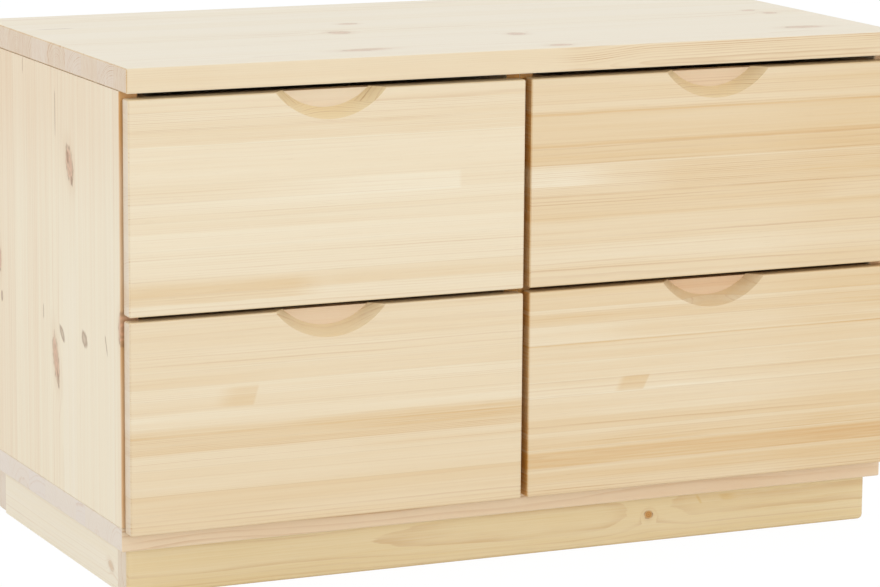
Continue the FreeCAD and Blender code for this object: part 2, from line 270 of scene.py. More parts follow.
class Finish:
    """The nodes of one material or of the world."""

    def __init__(self, owner):
        owner.use_nodes = True
        self.tree = owner.node_tree

    def node(self, kind, settings, inputs, output=0):
        """Add a node: first its settings, then the value or the link of each socket."""
        added = self.tree.nodes.new(kind)
        for name, value in settings.items():
            setattr(added, name, value)
        for name, value in inputs.items():
            if isinstance(value, Reading):
                self.tree.links.new(value.socket, added.inputs[name])
            else:
                added.inputs[name].default_value = value
        return Reading(self, added.outputs[output])

    def math(self, operation, *terms):
        """A Math node on these terms."""
        return self.node("ShaderNodeMath", {"operation": operation}, dict(enumerate(terms)))

    def scaled(self, first, factor):
        """A vector or colour times a number."""
        return self.node("ShaderNodeVectorMath", {"operation": "SCALE"}, {0: first, "Scale": factor})

    def mix(self, factor, first, second, blend="MIX"):
        """A mix of two colours."""
        first, second = (value if isinstance(value, Reading) else (*value, 1) for value in (first, second))
        return self.node("ShaderNodeMix", {"data_type": "RGBA", "blend_type": blend},
                         {MIX_FACTOR: factor, MIX_FIRST: first, MIX_SECOND: second}, MIX_RESULT)

    def place(self, axes):
        """The Object coordinates in millimetres, in the order of these axes."""
        metres = self.node("ShaderNodeTexCoord", {}, {}, "Object")
        split = self.node("ShaderNodeSeparateXYZ", {}, {0: self.scaled(metres, 1 / MM)})
        return tuple(split.output(axis.upper()) for axis in axes)

    def facing(self, axis):
        """How squarely a surface faces along an axis, from 0 to 1."""
        normal = self.node("ShaderNodeTexCoord", {}, {}, "Normal")
        return abs(self.node("ShaderNodeSeparateXYZ", {}, {0: normal}, axis.upper()))

    def point(self, x, y, z=0):
        """A vector from three numbers."""
        return self.node("ShaderNodeCombineXYZ", {}, {0: x, 1: y, 2: z})

    def noise(self, x, y, z=0, detail=2):
        """Smooth noise about zero, mostly between -0.5 and 0.5."""
        inputs = {"Vector": self.point(x, y, z), "Scale": 1, "Detail": detail}
        return self.node("ShaderNodeTexNoise", {}, inputs) - 0.5

    def drawn_out(self, place, long, wide, detail=2):
        """Noise drawn out along the grain, with features so long and so wide, in millimetres."""
        along, *sides = place
        return self.noise(along / long, *(side / wide for side in sides), detail=detail)

    def three(self, number):
        """Three random numbers from 0 to 1, the same ones for the same number."""
        drawn = self.node("ShaderNodeTexWhiteNoise", {"noise_dimensions": "1D"}, {"W": number}, "Color")
        red = self.node("ShaderNodeSeparateColor", {}, {0: drawn})
        return red, red.output("Green"), red.output("Blue")

    def bump(self, height, strength, distance):
        """A bent normal from a height."""
        inputs = {"Strength": strength, "Distance": distance, "Height": height}
        return self.node("ShaderNodeBump", {}, inputs)

    def surface(self, varying, even):
        """Feed the surface shader with what varies over the surface and what is the same all over."""
        shader = self.tree.nodes["Principled BSDF"]
        for name, reading in varying.items():
            self.tree.links.new(reading.socket, shader.inputs[name])
        for name, value in even.items():
            shader.inputs[name].default_value = value


class Mark(NamedTuple):
    """A knot, swell or streak: its place and radius, its stretch along the grain, its lean in degrees."""
    along: float
    across: float
    radius: float
    stretch: float
    lean: float = 0


@dataclass
class Patch:
    """A streaky patch of another tone, of the wood or of painted shade: its ends along the grain and its
    edges across it, in millimetres.
    """
    start: float
    end: float
    low: float
    high: float
    # how much warmer it is, and how far it fades in at its start, out at its end and up to its upper edge
    tone: float
    fade_in: float = 2
    fade_out: float = 2
    fade_up: float = 2
    # how far its ends shift along the grain for each millimetre across it
    slant: float = 0
    # how much bolder its rings are
    rings: float = 0


@dataclass
class Board:
    """How a board is cut from the tree and what shows in it. Lengths are in millimetres of the unit."""
    # the axes along the grain, over the width and through the thickness
    grain: str
    across: str
    through: str
    seed: float
    # from pale wood and painted sheen at -1 over sapwood and warm wood to amber, which is painted shade, at
    # 2, and which warm wood it is
    warmth: float
    tone: str = "heartwood"
    # how much warmer the edges are, painted shade on the divider, how pale the square cut ends, and how
    # much painted light brightens the bevels
    edge: float = 0.5
    pale_ends: float = 0.65
    bright_bevels: float = 0
    # how much the glued strips differ, and how bold the rings are
    variety: float = 0.3
    contrast: float = 0.6
    # how much wider than usual the rings are
    ring_scale: float = 1
    # how deep in the board and how far beside each strip, both ways, the heart of the tree may lie
    heart: float = 40
    aside: float = 300
    # the glue lines across the board, in rising order, and how far the rings wander
    joints: tuple = ()
    wander: float = 4
    # the knots, their colour and how dark they are
    knots: tuple = ()
    knot_tone: str = "knot"
    knot_depth: float = 0.6
    # places that the rings bend round, streaks of pitch and dead knots, and patches of another tone, some
    # of them painted shade
    swells: tuple = ()
    streaks: tuple = ()
    patches: tuple = ()


def nearest_mark(finish, surface, marks):
    """Distance to the nearest of some knots, swells or streaks, in radii of that mark."""
    flat = finish.point(*surface)
    nearest = None
    for mark in marks:
        reach = finish.node("ShaderNodeMapping", {"vector_type": "TEXTURE"},
                            {"Vector": flat, "Location": (mark.along, mark.across, 0),
                             "Rotation": (0, 0, math.radians(mark.lean)),
                             "Scale": (mark.radius * mark.stretch, mark.radius, 1)})
        distance = finish.node("ShaderNodeVectorMath", {"operation": "LENGTH"}, {0: reach}, "Value")
        nearest = distance if nearest is None else finish.math("MINIMUM", distance, nearest)
    return nearest


def glued_strips(finish, board, across, edges):
    """For the strip at a point: three random numbers, the place of its middle, and 1 on the glue lines."""
    line_edge, line_core = 0.5, 0.1
    middles = [(low + high) / 2 for low, high in zip(edges, edges[1:])]
    number = board.seed
    middle = middles[0]
    glue = 0.0
    for joint, below, above in zip(board.joints, middles, middles[1:]):
        past = finish.math("GREATER_THAN", across, joint)
        number = past + number
        middle = past * (above - below) + middle
        glue = abs(across - joint).rise(line_edge, line_core) + glue
    return finish.three(number), middle, glue


def heart_distance(finish, board, place, strip, middle):
    """Distance from the heart of the tree, which lies beside or under the strip and wanders along it."""
    swell = bpy.context.scene.wood_figure.knot_swell / MM
    along, across, through = place
    first, second, third = strip
    slow = finish.noise(along / 240, second * 30, board.seed, detail=1)
    slower = finish.noise(along / 400, first * 30, board.seed + 7, detail=1)
    aside = across - middle + (first - 0.5) * board.aside + slow * board.wander
    aside = aside + along * (second - 0.5) * 0.006
    depth = through + (second * 0.85 + 0.15) * board.heart + slower * board.wander * 3
    depth = depth + along * (third - 0.5) * 0.015
    distance = finish.math("SQRT", aside * aside + depth * depth)
    for marks, reach in ((board.knots, 3.2), (board.swells, 1.0)):
        if marks:
            distance = distance + nearest_mark(finish, (along, across), marks).rise(reach, 0) * swell
    return distance


def growth_rings(finish, board, place, strip, middle):
    """The dark late wood at the end of each year's ring. The years differ in width and in strength."""
    first, second, third = strip
    distance = heart_distance(finish, board, place, strip, middle)
    uneven = finish.noise(distance / 13, third * 50, board.seed, detail=1)
    ripple = finish.drawn_out(place, long=60, wide=5)
    width = (third * 1.3 + 0.6) * (board.ring_scale * bpy.context.scene.wood_figure.ring / MM)
    phase = distance / width + uneven * 3.5 + ripple * 0.4
    year = finish.math("FLOOR", phase)
    season = phase - year
    late = season.rise(0.45, 0.93) ** 1.5 * season.rise(1.0, 0.95)
    strength = finish.node("ShaderNodeTexWhiteNoise", {"noise_dimensions": "1D"}, {"W": year + second * 90})
    fade = finish.drawn_out(place, long=150, wide=7).rise(-0.22, 0.15) * 0.8 + 0.2
    return late * (strength * strength * 0.85 + 0.15) * (first * 0.6 + 0.4) * fade


def tone_patches(finish, board, surface):
    """Added warmth and boldness of the rings in the streaky patches."""
    along, across = surface
    edge = 0.7
    warmth = 0.0
    boldness = 0.0
    streaks = finish.drawn_out(surface, long=90, wide=2) * 1.4 + 1
    wavy = across + finish.noise(along / 70, board.seed) * 2.5
    for patch in board.patches:
        leaning = along - (across - patch.low) * patch.slant
        window = leaning.rise(patch.start - edge, patch.start + patch.fade_in)
        window = window * leaning.rise(patch.end + edge, patch.end - patch.fade_out)
        window = window * wavy.rise(patch.low - edge, patch.low + edge)
        window = window * wavy.rise(patch.high + edge, patch.high - patch.fade_up)
        warmth = window * streaks * patch.tone + warmth
        boldness = window * patch.rings + boldness
    return warmth, boldness


def add_cuts(finish, wood, board, strip, slant, square):
    """Painted light brightens some bevels, and cuts across the grain are dark where they slant and pale
    where square.
    """
    colours = bpy.context.scene.wood_colours
    # painted light: the pull bevels, which face up into less light, are mixed towards a paler colour
    if board.bright_bevels:
        slope = finish.facing(board.through)
        bevel = slope.rise(0.3, 0.5) * slope.rise(0.8, 0.62)
        wood = finish.mix(bevel * board.bright_bevels, wood, colours.painted_bevel_light)
    wood = finish.mix(slant * (strip[0] * 0.4 + 0.6), wood, colours.cut_grain, "MULTIPLY")
    return finish.mix(square * (strip[1] * 0.3 + 0.75) * board.pale_ends, wood, colours.end_grain)


def add_knots(finish, wood, board, surface):
    """Knots: a warm halo, a core with its own rings, and a thin dark rim that comes and goes."""
    colours = bpy.context.scene.wood_colours
    rough = nearest_mark(finish, surface, board.knots) + finish.drawn_out(surface, long=6, wide=3) * 0.5
    rings = finish.math("SINE", rough * 15) * 0.26 + 0.28
    heart = finish.mix(rings, getattr(colours, board.knot_tone), colours.pitch)
    broken = finish.drawn_out(surface, long=11, wide=6).rise(-0.12, 0.2)
    rim = rough.rise(0.7, 0.98) * rough.rise(1.25, 1.0) * broken
    wood = finish.mix(rough.rise(2.4, 0.8) * 0.16, wood, colours.latewood)
    wood = finish.mix(rough.rise(1.25, 0.6) * board.knot_depth, wood, heart)
    return finish.mix(rim * board.knot_depth, wood, colours.pitch)


def add_streaks(finish, wood, board, surface):
    """Streaks of pitch and dead knots, with a rough outline, darkest near their rim."""
    colours = bpy.context.scene.wood_colours
    rough = nearest_mark(finish, surface, board.streaks) + finish.drawn_out(surface, long=9, wide=4) * 0.7
    depth = rough.rise(0.1, 0.9) * 0.3 + 0.4
    return finish.mix(rough.rise(1.2, 0.7) * depth, wood, colours.pitch)


def dress_in_pine(node, board):
    """Solid pine: glued strips with their own rings, fibres and pores, and knots, streaks and end grain."""
    colours = bpy.context.scene.wood_colours
    material = bpy.data.materials.new(f"{node}_pine")
    finish = Finish(material)
    place = finish.place((board.grain, board.across, board.through))
    along, across, through = place
    surface = (along, across)
    low, high = (getattr(corner, board.across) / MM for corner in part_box(node))
    core = sum(getattr(corner, board.through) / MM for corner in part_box(node)) / 2
    strip, middle, glue = glued_strips(finish, board, across, (low, *board.joints, high))
    end_facing = finish.facing(board.grain)
    slant = end_facing.rise(0.12, 0.7)
    square = end_facing.rise(0.8, 0.98)
    added_warmth, added_boldness = tone_patches(finish, board, surface)
    boldness = (slant - square) * 0.8 + board.contrast + added_boldness
    rings = growth_rings(finish, board, (along, across, through - core), strip, middle) * boldness

    # fibres, short dark pores, soft streaks along the grain and the tone of each strip
    fibre = finish.drawn_out(place, long=30, wide=0.5, detail=3)
    pores = finish.drawn_out(place, long=18, wide=0.42).rise(0.15, 0.3)
    bands = finish.drawn_out(place, long=420, wide=8) * 1.3 + strip[2] - 0.5
    lines = finish.drawn_out(surface, long=130, wide=1.4) * 0.4
    lines = lines + finish.drawn_out(surface, long=60, wide=0.8) * 0.25
    warmth = bands * board.variety + lines * board.contrast + board.warmth + added_warmth
    warmth = warmth + finish.facing(board.across).rise(0.3, 0.9) * board.edge

    # pale wood and painted sheen below a warmth of 0, sapwood to warm wood up to 1, and above that amber,
    # which is painted shade
    wood = finish.mix(warmth, colours.sapwood, getattr(colours, board.tone))
    wood = finish.mix(warmth - 1, wood, colours.amber)
    wood = finish.mix(warmth * -1, wood, colours.pale_wood_and_sheen)
    wood = add_cuts(finish, wood, board, strip, slant, square)
    wood = finish.mix(rings, wood, colours.latewood)
    wood = finish.mix(pores * 0.16 + glue * 0.05, wood, colours.pitch)
    if board.knots:
        wood = add_knots(finish, wood, board, surface)
    if board.streaks:
        wood = add_streaks(finish, wood, board, surface)

    relief = fibre * 0.6 + rings * 0.5 - pores * 0.3
    finish.surface({"Base Color": finish.scaled(wood, fibre * 0.05 + 1),
                    "Roughness": fibre * 0.12 - rings * 0.08 + 0.46,
                    "Normal": finish.bump(relief, 0.35, 0.12 * MM)}, {"Specular IOR Level": 0.5})
    dress(node, material)


def plywood(name, axes, seed):
    """Thin plywood: a peeled face veneer with broad waves, and darker cross plies in the edges."""
    colours = bpy.context.scene.wood_colours
    material = bpy.data.materials.new(name)
    finish = Finish(material)
    place = finish.place(axes)
    along, across, through = place
    warp = finish.noise(along / 260, across / 90, seed)
    wave = across / 34 + warp * 5 + finish.noise(along / 70, across / 16, seed + 3) * 0.5
    season = wave - finish.math("FLOOR", wave)
    late = season.rise(0.2, 0.85) * season.rise(1.0, 0.88)
    fibre = finish.drawn_out(place, long=24, wide=0.5, detail=3)
    ply = finish.math("SINE", through * 2.4).rise(0.1, 0.5)
    edge = finish.facing(axes[-1]).rise(0.7, 0.4)
    wood = finish.mix(late * 0.34, colours.ply_face, colours.heartwood)
    wood = finish.mix(edge * ply * 0.8, wood, colours.ply_core)
    finish.surface({"Base Color": finish.scaled(wood, fibre * 0.07 + 1), "Roughness": fibre * 0.12 + 0.58,
                    "Normal": finish.bump(fibre, 0.3, 0.15 * MM)}, {"Specular IOR Level": 0.3})
    return material


def beech(name, axes):
    """Plain beech with its small dark rays, waxed where the drawers run."""
    colours = bpy.context.scene.wood_colours
    material = bpy.data.materials.new(name)
    finish = Finish(material)
    place = finish.place(axes)
    rays = finish.drawn_out(place, long=2.2, wide=0.4).rise(0.1, 0.26)
    cloud = finish.drawn_out(place, long=90, wide=5)
    fibre = finish.drawn_out(place, long=20, wide=0.4, detail=3)
    wood = finish.mix(rays * 0.5, colours.beech, colours.beech_fleck)
    wood = finish.mix(cloud * 0.5 + 0.2, wood, colours.heartwood)
    finish.surface({"Base Color": finish.scaled(wood, fibre * 0.08 + 1), "Roughness": fibre * 0.1 + 0.42,
                    "Normal": finish.bump(fibre - rays * 0.5, 0.3, 0.1 * MM)}, {"Specular IOR Level": 0.4})
    return material


def zinc(name):
    """Dull zinc plate with small blooms and scuffs."""
    colours = bpy.context.scene.wood_colours
    material = bpy.data.materials.new(name)
    finish = Finish(material)
    x, y, z = finish.place("xyz")
    bloom = finish.noise(x / 0.9, y / 0.9, z / 0.9)
    scuff = finish.noise(x / 0.12, y / 0.5, z / 0.12)
    metal = finish.mix(bloom * 0.7 + scuff * 0.5 + 0.5, colours.steel, colours.steel_bloom)
    finish.surface({"Base Color": metal, "Roughness": bloom * 0.25 + 0.4}, {"Metallic": 1.0})
    return material


def dress(node, material):
    """Give a node of the frame its material."""
    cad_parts[node].material_slots[0].material = material


def even_joints(node, across, seed):
    """Glue lines about as far apart as the strips of the carcass panels, over the width of a node."""
    width = bpy.context.scene.wood_figure.panel_strip
    uneven = 0.25
    low, high = (getattr(corner, across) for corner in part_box(node))
    count = round((high - low) / width)
    draw = random.Random(seed)
    return tuple((low + width * (step + draw.uniform(-uneven, uneven))) / MM for step in range(1, count))


class DressTop(bpy.types.Operator):
    """Give the top panel its pine, with the grain along the width"""
    bl_idname = "drawer_unit.dress_top"
    bl_label = "Top panel"

    def execute(self, context):
        ends = tuple(Patch(end - 0.5, end + 0.5, TOP_FRONT - 2, TOP_BACK + 2, 1.25,
                           fade_in=0, fade_out=0, rings=0.9) for end in (LEFT_END, RIGHT_END))
        front_edge = Patch(20, RIGHT_END + 2, TOP_FRONT - 3, TOP_FRONT + 2.5, 0.05, fade_in=40, rings=1.9)
        knots = (Mark(-117, -24, 9, 1.2, 4), Mark(-81, 40, 5, 1.8, -6), Mark(-147, -155, 7, 3.4, 3),
                 Mark(39, -92, 8, 1.1), Mark(355, -22, 6, 1.2), Mark(346, 6, 4.5, 1.5, 8),
                 Mark(327, -140, 7, 2.8, -4), Mark(40, -186, 6, 1.8))
        # painted sheen: a warmth below 0 makes the top paler, as its grazing reflection would
        board = Board(*LYING, seed=3.1, warmth=-0.27, edge=0.8, pale_ends=0.62, variety=0.25, contrast=0.35,
                      ring_scale=0.9, aside=100, joints=(-172, -128, -84, -40, 12, 58, 96, 141, 180),
                      knots=knots, knot_depth=0.38, swells=(Mark(45, -200, 50, 1.8),),
                      streaks=(Mark(-362, 100, 1.2, 15),), patches=(*ends, front_edge))
        dress_in_pine("top_panel", board)
        return {"FINISHED"}


class DressBottom(bpy.types.Operator):
    """Give the bottom panel its pine, a redder board with the grain along the width"""
    bl_idname = "drawer_unit.dress_bottom"
    bl_label = "Bottom panel"

    def execute(self, context):
        front_edge = (CARCASS_FRONT - 2, CARCASS_FRONT + 3)
        board = Board(*LYING, seed=8.4, warmth=0.1, tone="rose", edge=0.55, pale_ends=0.9, contrast=0.4,
                      ring_scale=2.2, heart=60, aside=40, wander=9,
                      joints=even_joints("bottom_panel", "y", 8),
                      patches=(Patch(LEFT_END, RIGHT_END, *front_edge, 0.06, rings=1.7),
                               # warmer towards the right, partly the wood's tone and partly painted shade
                               # under the drawer fronts
                               Patch(60, RIGHT_END, *front_edge, 0.14, fade_in=140)))
        dress_in_pine("bottom_panel", board)
        return {"FINISHED"}


def side_board(seed, warmth, patches, **figure):
    """A side panel: upright grain, and a front edge with painted shade, a deep warm tone for the narrow gap
    behind the fronts.
    """
    # painted shade on the front edge, which stands in the narrow gap behind the drawer fronts
    front_edge = Patch(60, 480, CARCASS_FRONT - 5, CARCASS_FRONT + 1.5, 0.85)
    return Board(*UPRIGHT, seed=seed, warmth=warmth, tone="rose", edge=0.45, variety=0.45, contrast=0.35,
                 patches=(front_edge, *patches), **figure)


def left_side_board():
    """The side with two long knots and the dead knots about them, warmer towards the top."""
    knots = (Mark(386, -49, 9, 1.9, 17), Mark(194, -5, 7.5, 3, 14), Mark(262, 163, 6, 2),
             Mark(254, -186, 6, 2.4))
    streaks = (Mark(430, -9, 1.0, 22), Mark(463, 85, 0.8, 10), Mark(233, 30, 1.0, 8),
               Mark(232, -147, 1.2, 8, 20), Mark(392, -44, 3, 2.2, 17), Mark(371, -55, 2, 2.8, 17),
               Mark(174, -11, 2.2, 4, 14), Mark(221, -24, 4.2, 2.4, 43), Mark(227, -87, 6.5, 1.4, 48),
               Mark(226, 156, 3, 1.8))
    patches = (Patch(320, 480, -190, 210, 0.27, fade_in=130), Patch(240, 480, -64, -27, 0.25, fade_in=120))
    return side_board(5.7, 0.04, patches, joints=(-168, -147, -117, -64, -27, 43, 76, 115, 160),
                      knots=knots, knot_depth=0.62, streaks=streaks)


def right_side_board():
    """The side that the photograph doesn't show, with a few knots of its own."""
    knots = (Mark(330, 60, 6, 2.2, 15), Mark(150, -70, 5, 2.4, -16), Mark(215, 130, 6, 1.8, 24))
    streaks = (Mark(280, -20, 1.0, 20), Mark(410, -120, 3, 3, 35))
    return side_board(12.2, 0.08, (), joints=(-160, -112, -71, -20, 24, 81, 128, 166),
                      knots=knots, streaks=streaks)


class DressSides(bpy.types.Operator):
    """Give the side panels their pine, with upright grain and knots"""
    bl_idname = "drawer_unit.dress_sides"
    bl_label = "Side panels"

    def execute(self, context):
        dress_in_pine("left_side_panel", left_side_board())
        dress_in_pine("right_side_panel", right_side_board())
        return {"FINISHED"}


class DressDivider(bpy.types.Operator):
    """Give the two divider boards their pine, with upright grain and painted shade on their edges"""
    bl_idname = "drawer_unit.dress_divider"
    bl_label = "Centre divider"

    def execute(self, context):
        for seed, side in enumerate(COLUMNS):
            node = f"divider_{side}_board"
            # painted shade: edge pushes the narrow edges of the divider, deep in the gaps, towards amber
            board = Board(*UPRIGHT, seed=20.3 + seed, warmth=0.45, edge=1.5,
                          joints=even_joints(node, "y", seed))
            dress_in_pine(node, board)
        return {"FINISHED"}


class DressPlinth(bpy.types.Operator):
    """Give the plinth boards and their corner blocks bold grained pine, each cut whole from the plank"""
    bl_idname = "drawer_unit.dress_plinth"
    bl_label = "Plinth"

    def execute(self, context):
        cut = {"tone": "straw", "knot_tone": "amber"}
        long_cut = {**cut, "contrast": 1.1, "ring_scale": 1.7, "heart": 55, "aside": 20, "wander": 12}
        short_cut = {**cut, "contrast": 0.7, "variety": 0.5, "wander": 3}
        front = Board(*FACING_FRONT, seed=31.3, warmth=0.71, **long_cut,
                      knots=(Mark(149, 27, 4, 1.1),), knot_depth=0.95, swells=(Mark(149, 27, 26, 2.4),),
                      patches=(Patch(LEFT_END, RIGHT_END, -4, 50, 0.04, rings=0.8),
                               Patch(205, 209, 33, 42, 0.35, slant=-0.6),
                               Patch(228, 252, 34, 41, 0.3, fade_in=6, fade_out=16, slant=-0.6)))
        back = Board(*FACING_FRONT, seed=32.6, warmth=0.6, **long_cut,
                     knots=(Mark(-210, 20, 5, 1.2),), knot_depth=0.8)
        # painted light: the left board is made paler against the shade under the carcass
        left = Board(*FACING_SIDE, seed=34.9, warmth=-0.45, **short_cut,
                     knots=(Mark(-130, 20, 4, 1.8, 20),), knot_depth=0.35)
        right = Board(*FACING_SIDE, seed=35.2, warmth=0, **short_cut, knots=(Mark(60, 30, 4, 1.4),))
        for name, board in (("front", front), ("back", back), ("left", left), ("right", right)):
            dress_in_pine(f"plinth_{name}_board", board)
        dress_in_pine("plinth_corner_blocks", Board(*LYING, seed=37.7, warmth=0.4))
        return {"FINISHED"}


def front_board(seed, warmth, **figure):
    """A drawer front: level grain, straight rings, and edges hardly warmer than the face."""
    return Board(*FACING_FRONT, seed=seed, warmth=warmth, edge=0.2, wander=2, **figure)


def shaded_end(low, high):
    """Painted shade: the deep tone of a right front's end, in the gap between the columns."""
    return Patch(RIGHT_COLUMN - 2, RIGHT_COLUMN + 1, low, high, 1.4)


def upper_left_board():
    """The palest front, warmer along its top and at its lower left, with painted light on its bevels."""
    patches = (
        Patch(*LEFT_HALF, 421, 466, 0.33, fade_up=30, rings=1.2),
        Patch(*LEFT_HALF, 386, 420, -0.1, rings=-0.2),
        Patch(*LEFT_HALF, 341, 366, 0.14, fade_up=10),
        Patch(-330, -68, 367, 384, -0.25, fade_in=220, fade_out=4),
        Patch(LEFT_END, -201, 276, 298, 0.4, fade_out=40, fade_up=8),
        Patch(-240, 0, 285, 296, 0.16, fade_in=60, fade_up=6),
    )
    return front_board(41.4, 0.28, pale_ends=0.3, bright_bevels=0.65, variety=0.3, contrast=0.4,
                       joints=(284, 299, 326, 352, 369, 385, 420, 452), patches=patches)


def lower_left_board():
    """A warm front with a finger joint in one strip and a band of bold rings under its middle."""
    patches = (
        Patch(-320, -276, 178, 198, 0.35, fade_in=26, fade_up=5, slant=0.3),
        Patch(*LEFT_HALF, 153, 161, 0.34, fade_up=4),
        Patch(*LEFT_HALF, 188, 264, -0.17),
        Patch(*LEFT_HALF, 162, 176, -0.18),
        Patch(*LEFT_HALF, 138, 155, 0.28, rings=0.5),
        Patch(-260, 0, 146, 165, 0.18, fade_in=140, fade_up=6),
        Patch(-200, 0, 128, 133, 0.25, fade_in=80, fade_up=3),
        Patch(*LEFT_HALF, 60, 100, -0.15, fade_up=20),
    )
    return front_board(43.8, 0.6, pale_ends=0.3, bright_bevels=0.3, variety=0.4, contrast=0.5,
                       joints=(82, 100, 124, 146, 161, 177, 199, 214, 233), patches=patches)


def upper_right_board():
    """A warm front with two thin dark lines and a strip that turns from pale to warm."""
    patches = (
        Patch(*RIGHT_HALF, 429, 435, 0.3, fade_up=4),
        Patch(*RIGHT_HALF, 399, 404, 0.33, fade_up=4),
        Patch(*RIGHT_HALF, 440, 466, 0.12, fade_up=10),
        Patch(*RIGHT_HALF, 330, 398, 0.08, rings=0.8),
        Patch(*RIGHT_HALF, 262, 330, -0.16, rings=0.5),
        # painted shade: warmer and darker towards the right end, where the light falls off
        Patch(230, RIGHT_END, 262, 470, 0.13, fade_in=120),
        Patch(0, 110, 362, 381, -0.35, fade_out=70, fade_up=4),
        Patch(110, RIGHT_END, 353, 382, 0.2, fade_in=60, fade_up=4),
        Patch(290, RIGHT_END, 334, 352, -0.2, fade_in=60, fade_up=6),
        shaded_end(266, 466),
    )
    return front_board(46.1, 0.62, pale_ends=0, bright_bevels=0.45, variety=0.4, contrast=0.5,
                       joints=(284, 305, 332, 353, 382, 400, 431), patches=patches)


def lower_right_board():
    """The front with the most stripes, warm and pale strips by turns, and a finger joint in one of them."""
    patches = (
        Patch(*RIGHT_HALF, 228, 243, 0.35, fade_up=6),
        Patch(60, RIGHT_END, 212, 228, 0.2, fade_in=80),
        Patch(*RIGHT_HALF, 209, 211, 0.35),
        Patch(*RIGHT_HALF, 192, 209, -0.2, rings=-0.2),
        Patch(*RIGHT_HALF, 175, 191, 0.2, rings=-0.35),
        Patch(0, 280, 159, 174, -0.2, fade_out=140),
        Patch(*RIGHT_HALF, 138, 163, -0.22, rings=-0.2),
        # painted shade: warmer and darker towards the right end, where the light falls off
        Patch(230, RIGHT_END, 60, 264, 0.14, fade_in=120),
        Patch(93, 126, 160, 175, 0.45, fade_in=8, fade_up=3, slant=0.5),
        Patch(*RIGHT_HALF, 109, 124, 0.4, fade_up=7),
        Patch(*RIGHT_HALF, 91, 107, 0.45, fade_up=3),
        Patch(*RIGHT_HALF, 63, 88, 0.25, rings=0.5),
        shaded_end(63, 263),
    )
    return front_board(48.5, 0.55, pale_ends=0, variety=0.45, contrast=0.55,
                       joints=(76, 89, 108, 125, 159, 174, 192, 210, 228, 244), patches=patches)


class DressFronts(bpy.types.Operator):
    """Give the four drawer fronts their pine, glued from narrow level strips, each in its own tone"""
    bl_idname = "drawer_unit.dress_fronts"
    bl_label = "Drawer fronts"

    def execute(self, context):
        dress_in_pine("upper_left_front", upper_left_board())
        dress_in_pine("lower_left_front", lower_left_board())
        dress_in_pine("upper_right_front", upper_right_board())
        dress_in_pine("lower_right_front", lower_right_board())
        return {"FINISHED"}


class DressBoxes(bpy.types.Operator):
    """Give the walls of the drawer boxes their pine and their floors plywood"""
    bl_idname = "drawer_unit.dress_boxes"
    bl_label = "Drawer boxes"

    def execute(self, context):
        walls = {"box_front": FACING_FRONT, "box_back": FACING_FRONT,
                 "box_left_side": FACING_SIDE, "box_right_side": FACING_SIDE}
        # warmth of each box, partly painted shade: the lower boxes are warmer and darker under the fronts
        # above them
        box_tones_and_shade = {"lower_left": 0.85, "lower_right": 1.15, "upper_left": 0.3, "upper_right": 0.75}
        for number, drawer in enumerate(DRAWERS):
            for turn, (wall, axes) in enumerate(walls.items()):
                node = f"{drawer}_{wall}"
                seed = 60.2 + 5 * number + turn
                board = Board(*axes, seed=seed, warmth=box_tones_and_shade[drawer], tone="rose", contrast=0.45,
                              joints=even_joints(node, "z", seed))
                dress_in_pine(node, board)
            dress(f"{drawer}_box_floor", plywood(f"{drawer}_floor_ply", LYING, 3.0 + number))
        return {"FINISHED"}


class DressBack(bpy.types.Operator):
    """Give the thin back panel its plywood"""
    bl_idname = "drawer_unit.dress_back"
    bl_label = "Back panel"

    def execute(self, context):
        dress("back_panel", plywood("back_ply", UPRIGHT_SHEET, 9.0))
        return {"FINISHED"}


class DressRunners(bpy.types.Operator):
    """Give the runners and the dowels their beech"""
    bl_idname = "drawer_unit.dress_runners"
    bl_label = "Runners and dowels"

    def execute(self, context):
        runner = beech("runner_beech", FACING_SIDE)
        for drawer in DRAWERS:
            for upright in ("side", "divider"):
                dress(f"{drawer}_{upright}_runner", runner)
        dress("carcass_dowels", beech("dowel_beech", UPRIGHT_SHEET))
        return {"FINISHED"}


def select_only(*pieces):
    """Select these objects and nothing else, with the first one active."""
    bpy.ops.object.select_all(action="DESELECT")
    for piece in pieces:
        piece.select_set(True)
    bpy.context.view_layer.objects.active = pieces[0]


def select_faces(piece, wanted):
    """In edit mode, select only the faces whose middle passes a test."""
    bpy.ops.mesh.select_mode(type="FACE")
    shape = bmesh.from_edit_mesh(piece.data)
    for face in shape.faces:
        face.select_set(wanted(face.calc_center_median()))
    bmesh.update_edit_mesh(piece.data)


def round_head(sides, radius, rim, dome, rise):
    """A round head that faces up from the origin: a rim, and a dome of steps that narrow and rise."""
    bpy.ops.object.select_all(action="DESELECT")
    bpy.ops.mesh.primitive_cylinder_add(vertices=sides, radius=radius, depth=rim, location=(0, 0, rim / 2))
    head = bpy.context.object
    bpy.ops.object.transform_apply()
    bpy.ops.object.mode_set(mode="EDIT")
    select_faces(head, lambda middle: middle.z > rim - SELECT_MARGIN)
    for inset, lift in dome:
        bpy.ops.mesh.inset(thickness=radius * inset)
        bpy.ops.transform.translate(value=(0, 0, rise * lift))
    bpy.ops.object.mode_set(mode="OBJECT")
    return head


def cut_with(piece, tool):
    """Cut a tool out of a piece, and remove the tool."""
    select_only(piece)
    modifier = piece.modifiers.new("Recess", "BOOLEAN")
    modifier.object = tool
    modifier.solver = "EXACT"
    bpy.ops.object.modifier_apply(modifier=modifier.name)
    bpy.data.objects.remove(tool)


